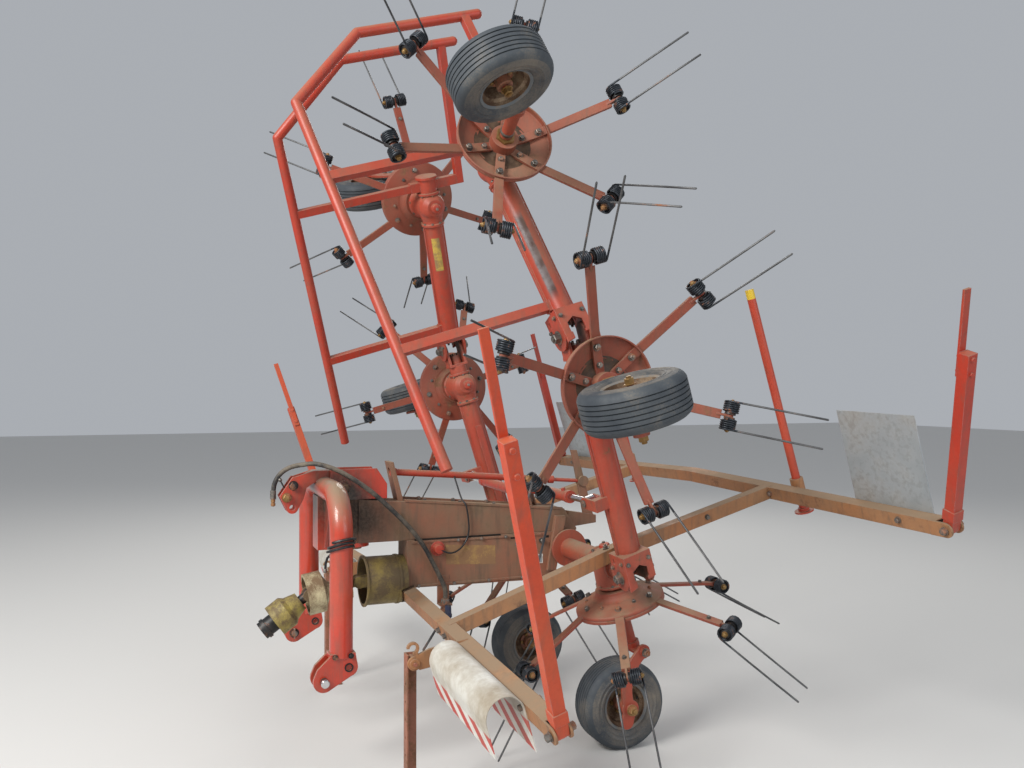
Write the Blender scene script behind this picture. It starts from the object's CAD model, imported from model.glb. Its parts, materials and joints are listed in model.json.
# %% [markdown]
# # A folded hay tedder
# The real machine is a tractor-mounted tedder: six spinning rotors hang under a hinged boom, and for
# storage both wings fold straight up. The mechanical model carries every shape that moves or bears load.
# This lesson dresses it: it gives each surface a finish with age in it, and builds the forms that a
# mechanical model keeps plain, such as ribbed tyres, pressed rims and wound spring tines.

# %% Load the frame
import json
import math

import bpy
import numpy as np
from mathutils import Matrix, Vector


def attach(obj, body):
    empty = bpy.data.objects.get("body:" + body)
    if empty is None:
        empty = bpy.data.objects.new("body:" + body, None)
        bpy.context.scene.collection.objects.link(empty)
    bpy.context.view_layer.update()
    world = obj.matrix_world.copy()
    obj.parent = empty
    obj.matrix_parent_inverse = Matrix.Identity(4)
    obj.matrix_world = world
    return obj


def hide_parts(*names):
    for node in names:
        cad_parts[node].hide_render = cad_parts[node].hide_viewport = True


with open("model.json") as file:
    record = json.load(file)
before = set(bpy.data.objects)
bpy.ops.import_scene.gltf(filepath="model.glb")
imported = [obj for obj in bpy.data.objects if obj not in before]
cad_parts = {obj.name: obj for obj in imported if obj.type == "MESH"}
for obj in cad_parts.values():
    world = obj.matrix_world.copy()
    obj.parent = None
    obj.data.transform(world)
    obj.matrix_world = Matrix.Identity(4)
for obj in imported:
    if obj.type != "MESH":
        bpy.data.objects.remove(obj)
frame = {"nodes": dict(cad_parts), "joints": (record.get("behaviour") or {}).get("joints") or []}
nodes = frame["nodes"]
joints = {j["name"]: j for j in frame["joints"]}
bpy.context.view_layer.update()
SIDES = ("left", "right")
PLACES = ("centre", "inner", "outer")

# %% [markdown]
# ## Where things are
# Each rotor, wheel and hinge has its own tilted frame. The joints of the mechanical model already know
# them: a rotor's joint gives the shaft's place and direction, and its wheel's joint gives the direction
# across the machine. The right side is the mirror image of the left, so its frames are left-handed, and
# the mesh helper turns faces round when it meets one.

# %% Local frames from the joints
def unit(v):
    """v divided by its own length."""
    v = np.asarray(v, float)
    return v / np.linalg.norm(v)


def as_frame(origin, x, u, n):
    """4x4 matrix whose columns are the directions x, u, n and the origin."""
    m = np.eye(4)
    m[:3, 0], m[:3, 1], m[:3, 2], m[:3, 3] = x, u, n, origin
    return m


REAR = unit(joints["inner_fold_left"]["axis"])


def rotor_frame(place, side):
    """Frame of one rotor: x outboard along the boom, u to the rear, n up the shaft."""
    turn = joints[f"rotor_turn_{place}_{side}"]
    across = joints[f"wheel_turn_{place}_{side}"]
    return as_frame(turn["pos_m"], unit(across["axis"]), REAR, unit(turn["axis"]))


def axle_frame(place, side):
    """Frame of one wheel: its third direction is the axle, pointing outboard."""
    f = rotor_frame(place, side)
    return as_frame(joints[f"wheel_turn_{place}_{side}"]["pos_m"], f[:3, 1], f[:3, 2], f[:3, 0])


def moved(f, x=0.0, u=0.0, n=0.0):
    """The same directions with the origin moved by x, u and n."""
    g = f.copy()
    g[:3, 3] = f[:3, :3] @ np.array([x, u, n]) + f[:3, 3]
    return g


def turned(f, angle):
    """The frame f turned by an angle in degrees about its own third direction."""
    c, s = math.cos(math.radians(angle)), math.sin(math.radians(angle))
    return f @ np.array([[c, -s, 0, 0], [s, c, 0, 0], [0, 0, 1, 0], [0, 0, 0, 1.0]])


def facing(place, toward):
    """Right-handed frame at a place, whose third direction looks toward."""
    n = unit(toward)
    side = (0.0, 0.0, 1.0) if abs(n[2]) < 0.9 else (1.0, 0.0, 0.0)
    x = unit(np.cross(side, n))
    return as_frame(place, x, np.cross(n, x), n)


# The upright frame of the machine: y is counted from the line of the centre rotors
MIDDLE_Y = joints["rotor_turn_centre_left"]["pos_m"][1]
MACHINE = as_frame((0.0, MIDDLE_Y, 0.0), (1, 0, 0), (0, 1, 0), (0, 0, 1))
ROTOR_X = 0.550
pitched = moved(rotor_frame("centre", "left"), x=-ROTOR_X)
print("centre line of the rotors at y", round(MIDDLE_Y, 4))

# %% [markdown]
# ## The camera first
# The photograph was taken from the machine's left front, at about eye height, looking almost level. Its
# place was found by matching the tyres, hinges and bar ends, and everything else is judged through it.

# %% Camera
LENS_MM = 31.76
CAMERA_AZIMUTH = math.radians(67.875)
CAMERA_PITCH = math.radians(0.195)
CAMERA_ROLL = math.radians(0.093)
camera_place = Vector((4.293, MIDDLE_Y - 2.066, 1.678))
back = Vector((
    math.sin(CAMERA_AZIMUTH) * math.cos(CAMERA_PITCH),
    -math.cos(CAMERA_AZIMUTH) * math.cos(CAMERA_PITCH),
    -math.sin(CAMERA_PITCH),
))
right = Vector((math.cos(CAMERA_AZIMUTH), math.sin(CAMERA_AZIMUTH), 0.0))
up = back.cross(right)
turn = Matrix((right, up, back)).transposed().to_4x4() @ Matrix.Rotation(CAMERA_ROLL, 4, "Z")
camera_data = bpy.data.cameras.new("camera")
camera_data.lens = LENS_MM
camera_data.sensor_width = 36.0
camera_data.clip_end = 100.0
camera = bpy.data.objects.new("camera", camera_data)
bpy.context.scene.collection.objects.link(camera)
camera.matrix_world = Matrix.Translation(camera_place) @ turn
bpy.context.scene.camera = camera
print("camera at", tuple(round(c, 3) for c in camera_place))

# %% [markdown]
# ## Meshes as grids
# Nearly every piece here is a surface with two parameters: along and around. A grid of points is worked
# out as one array, then its neighbours are joined into faces. Pieces of many such grids are gathered
# first and put into one mesh, which keeps the scene small.

# %% Mesh helpers
def grid_faces(rows, cols, close_rows, close_cols):
    """Quads between neighbours of a rows x cols grid, wrapping round where it is closed."""
    r = np.arange(rows if close_rows else rows - 1)
    c = np.arange(cols if close_cols else cols - 1)
    rr, cc = np.meshgrid(r, c, indexing="ij")
    r2, c2 = (rr + 1) % rows, (cc + 1) % cols
    quads = np.stack([rr * cols + cc, r2 * cols + cc, r2 * cols + c2, rr * cols + c2], -1)
    return quads.reshape(-1, 4)


def ring_angles(count):
    """count angles evenly round a circle."""
    return np.arange(count) * (2 * math.pi / count)


def sweep(path, radius, sides=8):
    """Tube round a path: each ring lies square to the path, in a frame carried on without twist."""
    path = np.asarray(path, float)
    tangent = np.gradient(path, axis=0)
    tangent /= np.linalg.norm(tangent, axis=1)[:, None]
    normals = [unit(np.cross(tangent[0], [0.31, 0.17, 0.93]))]
    for t in tangent[1:]:
        normals.append(unit(normals[-1] - t * np.dot(normals[-1], t)))
    normals = np.array(normals)
    binormals = np.cross(tangent, normals)
    a = -ring_angles(sides)[None, :, None]
    r = np.broadcast_to(np.asarray(radius, float), (len(path),))[:, None, None]
    return path[:, None, :] + r * (normals[:, None, :] * np.cos(a) + binormals[:, None, :] * np.sin(a))


def smooth_path(points, per=8):
    """Catmull-Rom curve through the points, per steps between neighbours; its ends start level."""
    p = np.asarray(points, float)
    p = np.vstack([p[0], p, p[-1]])
    t = np.linspace(0, 1, per, endpoint=False)[:, None]
    out = []
    for a, b, c, d in zip(p[:-3], p[1:-2], p[2:-1], p[3:]):
        out.append(0.5 * (2 * b + (c - a) * t + (2 * a - 5 * b + 4 * c - d) * t**2
                          + (3 * b - a - 3 * c + d) * t**3))
    return np.vstack(out + [p[-2][None, :]])


class Piece:
    """Gathers grids in their own frames, and turns them into one object."""

    def __init__(self, name):
        self.name = name
        self.points, self.faces, self.slots = [], [], []
        self.count = 0

    def add(self, points, faces, at=None, slots=0):
        """Points (k, 3) and faces as index lists, placed by the frame at; slots is one or one a face."""
        points = np.asarray(points, float).reshape(-1, 3)
        flip = False
        if at is not None:
            points = points @ at[:3, :3].T + at[:3, 3]
            flip = np.linalg.det(at[:3, :3]) < 0
        slots = [slots] * len(faces) if isinstance(slots, int) else list(slots)
        for f, slot in zip(faces, slots):
            f = [int(i) + self.count for i in f]
            self.faces.append(f[::-1] if flip else f)
            self.slots.append(slot)
        self.points.append(points)
        self.count += len(points)

    def tube(self, path, radius, sides=8, at=None, slot=0):
        """A closed tube along a path: slot is one number, or one for each step along the path."""
        points = sweep(path, radius, sides)
        rows = len(points)
        faces = grid_faces(rows, sides, False, True).tolist()
        steps = [slot] * (rows - 1) if isinstance(slot, int) else list(slot)
        slots = [s for s in steps for _ in range(sides)] + [steps[0], steps[-1]]
        faces.append(list(range(sides)))
        faces.append([(rows - 1) * sides + i for i in range(sides)][::-1])
        self.add(points, faces, at, slots)

    def lathe(self, profile, count=32, at=None, slot=0, closed=False):
        """Profile of (radius, height) turned about the third direction: (r cos a, r sin a, h).
        It runs up its outside. An open one is capped, and a closed one is a ring."""
        a = ring_angles(count)[:, None]
        r = np.asarray([p[0] for p in profile])[None, :]
        h = np.asarray([p[1] for p in profile])[None, :]
        points = np.stack([r * np.cos(a), r * np.sin(a), h + 0 * a], -1)
        cols = len(profile)
        faces = grid_faces(count, cols, True, closed).tolist()
        steps = cols if closed else cols - 1
        slots = [slot] * steps if isinstance(slot, int) else list(slot)
        slots = slots * count
        if not closed:
            faces.append([i * cols for i in range(count)][::-1])
            faces.append([i * cols + cols - 1 for i in range(count)])
            slots += [slots[0], slots[-1]]
        self.add(points, faces, at, slots)

    def bolt(self, at, place, toward, flats, slot=0, washer=1.25, stub=0.0):
        """Hexagon head on its washer: flats is the width over two flats, stub the bolt's end above it."""
        f = at @ facing(place, toward)
        r = flats / math.sqrt(3)
        base = 0.0
        if washer:
            self.lathe([(r * washer, 0.0), (r * washer, 0.0025)], 16, f, slot)
            base = 0.0024
        top = base + flats * 0.62
        self.lathe([(r, base), (r, top - r * 0.14), (r * 0.84, top)], 6, f, slot)
        if stub:
            end = [(r * 0.52, top - 0.001), (r * 0.52, top + stub - 0.001), (r * 0.4, top + stub)]
            self.lathe(end, 12, f, slot)

    def block(self, low, high, at=None, slot=0, edge=0.001):
        """Box between two corners, its four long edges broken by a small chamfer."""
        (x0, y0, z0), (x1, y1, z1) = low, high
        e = min(edge, (x1 - x0) / 3, (y1 - y0) / 3)
        ring = np.array([(x0 + e, y0), (x1 - e, y0), (x1, y0 + e), (x1, y1 - e),
                         (x1 - e, y1), (x0 + e, y1), (x0, y1 - e), (x0, y0 + e)])
        points = np.stack([np.column_stack([ring, np.full(8, z)]) for z in (z0, z1)], 1)
        faces = grid_faces(8, 2, True, False).tolist()
        faces.append([i * 2 for i in range(8)][::-1])
        faces.append([i * 2 + 1 for i in range(8)])
        self.add(points, faces, at, slot)

    def finish(self, body, materials, replaces=(), sharp=35.0):
        """Makes the mesh, gives it its materials and lets it ride on a body."""
        mesh = bpy.data.meshes.new(self.name)
        mesh.from_pydata(np.concatenate(self.points).tolist(), [], self.faces)
        for m in materials:
            mesh.materials.append(m)
        mesh.polygons.foreach_set("material_index", self.slots)
        mesh.polygons.foreach_set("use_smooth", [True] * len(self.faces))
        mesh.set_sharp_from_angle(angle=math.radians(sharp))
        mesh.validate()
        obj = bpy.data.objects.new(self.name, mesh)
        bpy.context.scene.collection.objects.link(obj)
        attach(obj, body)
        if replaces:
            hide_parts(*replaces)
        return obj


# %% [markdown]
# ## Shader maths
# A finish is a handful of masks: where dust settles, where rust breaks through, where paint has faded.
# Each is a small sum of noises. Writing them as Python expressions keeps them readable, so one class
# wraps a socket and turns an operator into the Math node that does it.

# %% Shader helpers
class Sock:
    """A node socket that can be added, multiplied and so on; each operator adds one Math node."""

    def __init__(self, tree, socket):
        self.tree, self.socket = tree, socket

    def math(self, operation, a, b=None, clamp=False):
        node = self.tree.nodes.new("ShaderNodeMath")
        node.operation = operation
        node.use_clamp = clamp
        for i, value in enumerate((a, b)):
            if isinstance(value, Sock):
                self.tree.links.new(value.socket, node.inputs[i])
            elif value is not None:
                node.inputs[i].default_value = value
        return Sock(self.tree, node.outputs[0])

    def __add__(self, other):
        return self.math("ADD", self, other)

    def __radd__(self, other):
        return self.math("ADD", other, self)

    def __sub__(self, other):
        return self.math("SUBTRACT", self, other)

    def __rsub__(self, other):
        return self.math("SUBTRACT", other, self)

    def __mul__(self, other):
        return self.math("MULTIPLY", self, other)

    def __rmul__(self, other):
        return self.math("MULTIPLY", other, self)

    def clip(self):
        """The value kept between 0 and 1."""
        return self.math("ADD", self, 0.0, clamp=True)

    def most(self, other):
        """The larger of two values."""
        return self.math("MAXIMUM", self, other)

    def step(self, low, high):
        """0 below low, 1 above high, and straight between them."""
        return self.math("MULTIPLY", self - low, 1.0 / (high - low), clamp=True)

    def stripes(self, width):
        """0 and 1 in turn, each width wide."""
        return self.math("GREATER_THAN", self.math("FRACT", self * (0.5 / width)), 0.5)


class Finish:
    """One material: its node tree, and short calls for the nodes that finishes here share."""

    def __init__(self, name):
        self.material = bpy.data.materials.new(name)
        self.material.use_nodes = True
        self.tree = self.material.node_tree
        self.shader = self.tree.nodes["Principled BSDF"]
        self.place = self.node("ShaderNodeTexCoord", out="Object")
        self.facing = self.node("ShaderNodeTexCoord", out="Normal")

    def node(self, kind, out=0, settings=None, **sockets):
        """Adds a node, first its settings and then its sockets, given by name with _ for a space."""
        n = self.tree.nodes.new(kind)
        for key, value in (settings or {}).items():
            setattr(n, key, value)
        for key, value in sockets.items():
            target = n.inputs[key.replace("_", " ")]
            if isinstance(value, Sock):
                self.tree.links.new(value.socket, target)
            else:
                target.default_value = value
        return Sock(self.tree, n.outputs[out])

    def noise(self, scale, detail=4.0, roughness=0.6, stretch=None):
        """Noise in object space, scale cells a metre, squeezed by stretch along x, y and z."""
        where = self.place
        if stretch is not None:
            where = self.node("ShaderNodeMapping", Vector=self.place, Scale=stretch)
        return self.node("ShaderNodeTexNoise", Vector=where, Scale=scale, Detail=detail, Roughness=roughness)

    def part(self, vector, axis):
        """One of the three numbers of a vector: 0, 1 or 2."""
        n = self.tree.nodes.new("ShaderNodeSeparateXYZ")
        self.tree.links.new(vector.socket, n.inputs[0])
        return Sock(self.tree, n.outputs[axis])

    def upward(self):
        """1 on a face that looks straight up, 0 on a wall and -1 underneath."""
        return self.part(self.facing, 2)

    def along(self, direction):
        """How far a point lies along a direction, in metres."""
        n = self.tree.nodes.new("ShaderNodeVectorMath")
        n.operation = "DOT_PRODUCT"
        self.tree.links.new(self.place.socket, n.inputs[0])
        n.inputs[1].default_value = tuple(float(v) for v in direction)
        return Sock(self.tree, n.outputs["Value"])

    def near(self, point, radius):
        """1 at a point, falling to 0 at a radius round it."""
        n = self.tree.nodes.new("ShaderNodeVectorMath")
        n.operation = "DISTANCE"
        self.tree.links.new(self.place.socket, n.inputs[0])
        n.inputs[1].default_value = tuple(float(v) for v in point)
        return (1.0 - Sock(self.tree, n.outputs["Value"]) * (1.0 / radius)).clip()

    def edges(self, radius):
        """1 on the edges of the shape and 0 on its flats, from how far a rounded normal leans away."""
        soft = self.node("ShaderNodeBevel", settings={"samples": 4}, Radius=radius)
        true = self.node("ShaderNodeNewGeometry", out="Normal")
        n = self.tree.nodes.new("ShaderNodeVectorMath")
        n.operation = "DOT_PRODUCT"
        self.tree.links.new(soft.socket, n.inputs[0])
        self.tree.links.new(true.socket, n.inputs[1])
        return soft, (1.0 - Sock(self.tree, n.outputs["Value"])).step(0.01, 0.12)

    def mix(self, factor, a, b):
        """Colour a where the factor is 0 and b where it is 1."""
        n = self.tree.nodes.new("ShaderNodeMix")
        n.data_type = "RGBA"
        for key, value in ((0, factor), (6, a), (7, b)):
            if isinstance(value, Sock):
                self.tree.links.new(value.socket, n.inputs[key])
            else:
                n.inputs[key].default_value = value if key == 0 else (*value[:3], 1.0)
        return Sock(self.tree, n.outputs[2])

    def set(self, **sockets):
        """Links or sets inputs of the shader."""
        for key, value in sockets.items():
            target = self.shader.inputs[key.replace("_", " ")]
            if isinstance(value, Sock):
                self.tree.links.new(value.socket, target)
            elif isinstance(value, (tuple, list)):
                target.default_value = (*value[:3], 1.0)
            else:
                target.default_value = value

    def bump(self, height, distance, strength=1.0, under=None):
        """Normal from a height in metres."""
        extra = {"Normal": under} if under is not None else {}
        return self.node("ShaderNodeBump", Height=height, Distance=distance, Strength=strength, **extra)


# %% [markdown]
# ## Old red paint
# Farm paint ages in layers. The sun bleaches the upper faces towards pink, edges chip to bare metal and
# pale primer, rust blooms in patches, hay dust lies brown on everything, most on what looks up, and oil
# holds it in black-brown cakes round the couplings. One function makes all the painted finishes, and
# only colours and amounts differ between them.

# %% Painted steel
RUST_DARK = (0.085, 0.032, 0.018)
RUST_LIGHT = (0.26, 0.10, 0.045)
DUST = (0.27, 0.185, 0.115)
GREASE = (0.030, 0.020, 0.014)
# The worn line on the near outer boom looks to the front and down: this much rearward, this much up
WORN_TURN = (-0.452, -0.892)


def old_paint(name, fresh, faded, rust=0.45, dust=0.5, film=0.1, gloss=0.42, fade=0.5, chips=0.5,
              grease=(), coat=0.0, worn=None, tip=None):
    """Painted steel: fresh to faded colour, then chips, rust, streaks, dust and grease on top.
    film is the even veil of dust on every face; grease lists points and the radius of oil round them.
    tip is a frame at an end that is dipped in yellow for 46 mm.
    worn is a frame where a strap has rubbed a line of paint off, from its origin back along its x."""
    f = Finish(name)
    cloud = f.noise(2.3, 4.0)
    patch = f.noise(9.0, 6.0, 0.68)
    fine = f.noise(75.0, 4.0, 0.7)
    streak = f.noise(5.0, 4.0, 0.6, stretch=(7.0, 7.0, 0.9))
    up_face = f.upward()
    soft, edge = f.edges(0.004)
    fading = (cloud.step(0.35, 0.7) * 0.7 + up_face.step(-0.2, 0.9) * 0.5) * fade * 1.5
    colour = f.mix(fading.clip(), fresh, faded)
    colour = f.mix((patch * 0.6 + fine * 0.5).step(0.42, 0.72) * 0.45, colour, [c * 0.6 for c in fresh])
    light_chip = (edge * (patch + fine * 0.5).step(0.62, 0.80)).clip() * chips
    colour = f.mix(light_chip, colour, [0.5 * c + 0.30 for c in faded])
    rust_field = patch + fine * 0.30 + cloud * 0.25 + edge * 0.08
    rust_mask = rust_field.step(1.04 - 0.34 * rust, 1.14 - 0.34 * rust)
    colour = f.mix(rust_mask, colour, f.mix(fine.step(0.35, 0.65), RUST_DARK, RUST_LIGHT))
    if tip is not None:
        end = f.along(tip[:3, 2]) - float(tip[:3, 3] @ tip[:3, 2])
        colour = f.mix((end + 0.046).step(0.0, 0.002), colour, (0.70, 0.48, 0.030))
    if worn is not None:
        origin = worn[:3, 3]
        tangent = unit(worn[:3, 1] * WORN_TURN[1] - worn[:3, 2] * WORN_TURN[0])
        outward = unit(worn[:3, 1] * WORN_TURN[0] + worn[:3, 2] * WORN_TURN[1])
        off = f.along(tangent) - float(origin @ tangent)
        off = off.math("ABSOLUTE", off) + (fine - 0.5) * 0.010
        back = float(origin @ worn[:3, 0]) - f.along(worn[:3, 0])
        front = f.along(outward) - float(origin @ outward)
        band = (0.021 - off).step(0.0, 0.006) * back.step(0.0, 0.05) * (0.46 - back).step(0.0, 0.05)
        band = (band * front.step(0.0, 0.01)).clip()
        bare = f.mix(patch.step(0.45, 0.6), (0.020, 0.020, 0.024), (0.12, 0.12, 0.13))
        colour = f.mix(band * 0.92, colour, bare)
    veil = (cloud * 0.9 + patch * 0.7).step(0.45, 1.15) * film * 1.5
    colour = f.mix(veil.clip(), colour, [c * 0.70 for c in DUST])
    grime = streak.step(0.50, 0.74) * 0.55 * (0.35 + dust)
    colour = f.mix(grime.clip(), colour, [c * 0.32 + 0.015 for c in DUST])
    settled = up_face.step(0.10, 0.95) * (patch + cloud).step(0.60, 1.10) * dust * 1.6
    colour = f.mix(settled.clip(), colour, DUST)
    rough = gloss + rust_mask * 0.35 + settled * 0.4 + veil * 0.3 + fine * 0.10
    oil = None
    for point, radius in grease:
        spot = f.near(point, radius)
        oil = spot if oil is None else oil.most(spot)
    if oil is not None:
        oil = (oil * 1.9 + patch * 0.9 - 0.62).clip()
        colour = f.mix(oil, colour, f.mix(fine.step(0.4, 0.7), GREASE, [c * 3.2 for c in GREASE]))
        rough = rough + oil * 0.15
    height = fine * 0.35 + rust_mask * (0.7 + fine) + settled * fine * 0.6
    f.set(Base_Color=colour, Roughness=rough.clip(), Normal=f.bump(height, 0.0006, 0.6, under=soft))
    f.set(Specular_IOR_Level=0.45, Coat_Weight=coat, Coat_Roughness=0.12)
    return f.material


def hinge_point(name):
    """Place of a joint at rest."""
    return joints[name]["pos_m"]


CLUTCH_R = 0.105
clutch = {s: [(hinge_point(f"inner_fold_{s}"), CLUTCH_R)] for s in SIDES}
elbow = {s: [(hinge_point(f"outer_fold_{s}"), CLUTCH_R)] for s in SIDES}
SWIVEL = (0.0, MIDDLE_Y - 1.130, 1.060)
worn_line = moved(rotor_frame("outer", "left"), x=-0.26, n=0.180)
paint = {
    "beam": old_paint("paint_beam", (0.235, 0.068, 0.034), (0.30, 0.14, 0.080), rust=0.60, dust=0.9,
                      film=0.80, fade=0.7, grease=[(SWIVEL, 0.24)]),
    "housing": old_paint("paint_housing", (0.31, 0.080, 0.040), (0.34, 0.14, 0.078), rust=0.38, dust=0.8,
                         film=0.78, fade=0.7, gloss=0.5),
    "centre": old_paint("paint_centre_tube", (0.36, 0.045, 0.020), (0.38, 0.11, 0.060), rust=0.5,
                        dust=0.75, film=0.3, grease=clutch["left"] + clutch["right"]),
    "leg": old_paint("paint_wheel_leg", (0.34, 0.036, 0.016), (0.37, 0.095, 0.052), rust=0.5, dust=0.45,
                     film=0.22),
    "stock": old_paint("paint_headstock", (0.50, 0.026, 0.009), (0.48, 0.070, 0.032), rust=0.18,
                       dust=0.70, film=0.14, gloss=0.24, fade=0.45, coat=0.5,
                       grease=[((0.0, MIDDLE_Y - 1.215, 1.13), 0.25)]),
    "bar": old_paint("paint_bar", (0.38, 0.140, 0.045), (0.42, 0.21, 0.090), rust=0.45, dust=0.75,
                     film=0.38, fade=0.8),
    "post": old_paint("paint_post", (0.56, 0.052, 0.012), (0.52, 0.10, 0.032), rust=0.2, dust=0.3,
                      film=0.05, gloss=0.36),
    "hoop": old_paint("paint_hoop", (0.42, 0.028, 0.011), (0.42, 0.070, 0.036), rust=0.28, dust=0.40,
                      film=0.10, gloss=0.34),
    "stand": old_paint("paint_stand", (0.30, 0.085, 0.045), (0.38, 0.15, 0.090), rust=0.8, dust=0.5,
                       film=0.3),
    "rotor": old_paint("paint_rotor", (0.27, 0.038, 0.018), (0.32, 0.085, 0.048), rust=0.5, dust=0.45,
                       film=0.26, gloss=0.48, fade=0.6),
}
BAR_AXIS_N, POLE_X, POLE_ABOVE, REAR_DROOP = 0.2603, 0.800, 0.990, math.radians(1.7)
pole_tip = moved(pitched, n=BAR_AXIS_N - POLE_X * math.sin(REAR_DROOP) + POLE_ABOVE)
paint["pole"] = old_paint("paint_pole", (0.48, 0.036, 0.013), (0.48, 0.085, 0.040), rust=0.25, dust=0.35,
                          film=0.08, gloss=0.34, tip=pole_tip)
for s in SIDES:
    paint["inner_" + s] = old_paint(f"paint_inner_boom_{s}", (0.38, 0.034, 0.014), (0.41, 0.095, 0.052),
                                    rust=0.42, dust=0.45, film=0.16, grease=clutch[s] + elbow[s])
    paint["outer_" + s] = old_paint(f"paint_outer_boom_{s}", (0.41, 0.030, 0.012), (0.42, 0.085, 0.042),
                                    rust=0.35, dust=0.45, film=0.12, gloss=0.36, grease=elbow[s],
                                    worn=worn_line if s == "left" else None)
print("painted finishes", len(paint))

# %% [markdown]
# ## Rubber, rims, bare steel and plastic
# The tyres are chalky blue-grey with dust held in their grooves. The rims have lost their cream paint to
# brown dirt, the spring coils keep a blue-black skin while their prongs are scoured bright by the hay,
# and the shaft's guards are olive-yellow plastic under a film of oil and dust.

# %% The other finishes
def tyre_rubber(name, dust):
    """Blue-grey rubber: clouds of chalk, and dust where it is not rubbed off."""
    f = Finish(name)
    cloud = f.noise(6.0, 5.0)
    fine = f.noise(150.0, 3.0)
    colour = f.mix(cloud.step(0.35, 0.75), (0.028, 0.036, 0.046), (0.075, 0.085, 0.092))
    mask = (cloud * 0.8 + fine * 0.4).step(0.95 - dust, 1.25 - dust * 0.9) * 0.75
    colour = f.mix(mask, colour, (0.22, 0.175, 0.125))
    f.set(Base_Color=colour, Roughness=(0.56 + fine * 0.25).clip(), Normal=f.bump(fine, 0.0004, 0.5))
    return f.material


def dull_steel(name, dark, light, rust, rough=0.45, metal=0.8, scale=14.0):
    """Bare steel: worn bright in places, rusty in others."""
    f = Finish(name)
    cloud = f.noise(scale, 5.0)
    fine = f.noise(220.0, 3.0)
    rust_mask = (cloud + fine * 0.3).step(0.78 - 0.25 * rust, 0.88 - 0.2 * rust)
    colour = f.mix(cloud.step(0.35, 0.65), dark, light)
    colour = f.mix(rust_mask, colour, RUST_LIGHT)
    f.set(Base_Color=colour, Metallic=(metal - rust_mask * metal).clip(),
          Roughness=(rough + rust_mask * 0.35 + fine * 0.1).clip(),
          Normal=f.bump(fine + rust_mask, 0.0003, 0.5))
    return f.material


def dirty(name, clean, dirt, amount=0.5, rough=0.55, scale=8.0, spec=0.4, metal=0.0, rust=0.0):
    """A plain coloured surface with dirt in clouds and along the upper faces, and spots of rust."""
    f = Finish(name)
    cloud = f.noise(scale, 6.0, 0.65)
    fine = f.noise(scale * 14, 3.0)
    mask = (cloud * 1.2 + fine * 0.35 + f.upward() * 0.12).step(0.95 - amount * 0.5, 1.25 - amount * 0.5)
    colour = f.mix(mask, clean, dirt)
    if rust:
        spots = (f.noise(scale * 2.6, 5.0, 0.7) + fine * 0.2).step(0.84 - rust * 0.25, 0.90 - rust * 0.25)
        colour = f.mix(spots, colour, RUST_LIGHT)
    f.set(Base_Color=colour, Roughness=(rough + mask * 0.25 + fine * 0.1).clip(),
          Normal=f.bump(fine + mask, 0.0004, 0.4))
    f.set(Specular_IOR_Level=spec, Metallic=metal)
    return f.material


tread = tyre_rubber("tyre_tread", 0.30)
sidewall = tyre_rubber("tyre_sidewall", 0.46)
coil_steel = dull_steel("steel_coil", (0.012, 0.015, 0.020), (0.045, 0.052, 0.062), 0.10, 0.36, 0.55, 30.0)
prong_steel = dull_steel("steel_prong", (0.055, 0.055, 0.058), (0.17, 0.17, 0.17), 0.10, 0.46, 0.7, 5.0)
bolt_steel = dull_steel("steel_bolt", (0.12, 0.11, 0.10), (0.28, 0.26, 0.23), 0.5, 0.42, 0.8)
dark_steel = dull_steel("steel_dark", (0.014, 0.014, 0.015), (0.050, 0.047, 0.045), 0.2, 0.42, 0.5)
rusty_brass = dull_steel("rusty_brass", (0.20, 0.11, 0.035), (0.36, 0.24, 0.10), 0.45, 0.42, 0.7)
chrome = dull_steel("rod_chrome", (0.55, 0.55, 0.56), (0.70, 0.70, 0.70), 0.05, 0.13, 1.0, 6.0)
rim_cream = dirty("rim_cream", (0.27, 0.195, 0.125), (0.100, 0.058, 0.034), 0.85, 0.6, 14.0, rust=0.5)
rim_lip = dirty("rim_lip", (0.12, 0.135, 0.145), (0.20, 0.16, 0.12), 0.5, 0.5, 20.0, rust=0.3)
drum_plastic = dirty("drum_plastic", (0.21, 0.155, 0.040), (0.10, 0.070, 0.035), 0.75, 0.38, 9.0)
cone_plastic = dirty("cone_plastic", (0.36, 0.29, 0.075), (0.13, 0.09, 0.045), 0.65, 0.36, 16.0)
bell_plastic = dirty("bell_plastic", (0.50, 0.44, 0.27), (0.17, 0.11, 0.060), 0.72, 0.5, 14.0)
hose_rubber = dirty("hose_rubber", (0.022, 0.022, 0.023), (0.150, 0.125, 0.095), 0.62, 0.42, 10.0)
thin_rubber = dirty("thin_hose_rubber", (0.012, 0.013, 0.015), (0.050, 0.042, 0.034), 0.3, 0.3, 20.0)
coupling_blue = dirty("coupling_blue", (0.020, 0.030, 0.075), (0.060, 0.055, 0.055), 0.5, 0.35, 40.0)
grease_cake = dirty("grease_cake", (0.050, 0.028, 0.016), (0.105, 0.062, 0.036), 0.6, 0.45, 30.0)
label_yellow = dirty("label_yellow", (0.62, 0.44, 0.055), (0.26, 0.17, 0.075), 0.85, 0.55, 16.0)
label_faded = dirty("label_faded", (0.40, 0.25, 0.075), (0.25, 0.140, 0.070), 0.95, 0.55, 12.0)
label_grey = dirty("label_grey", (0.30, 0.34, 0.36), (0.20, 0.16, 0.13), 0.4, 0.4, 30.0)
label_pale = dirty("label_pale", (0.70, 0.70, 0.66), (0.36, 0.29, 0.22), 0.5, 0.5, 30.0)
soot = dirty("dark_gap", (0.010, 0.008, 0.007), (0.030, 0.022, 0.016), 0.3, 0.8, 20.0)
print("materials", len(bpy.data.materials))

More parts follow.
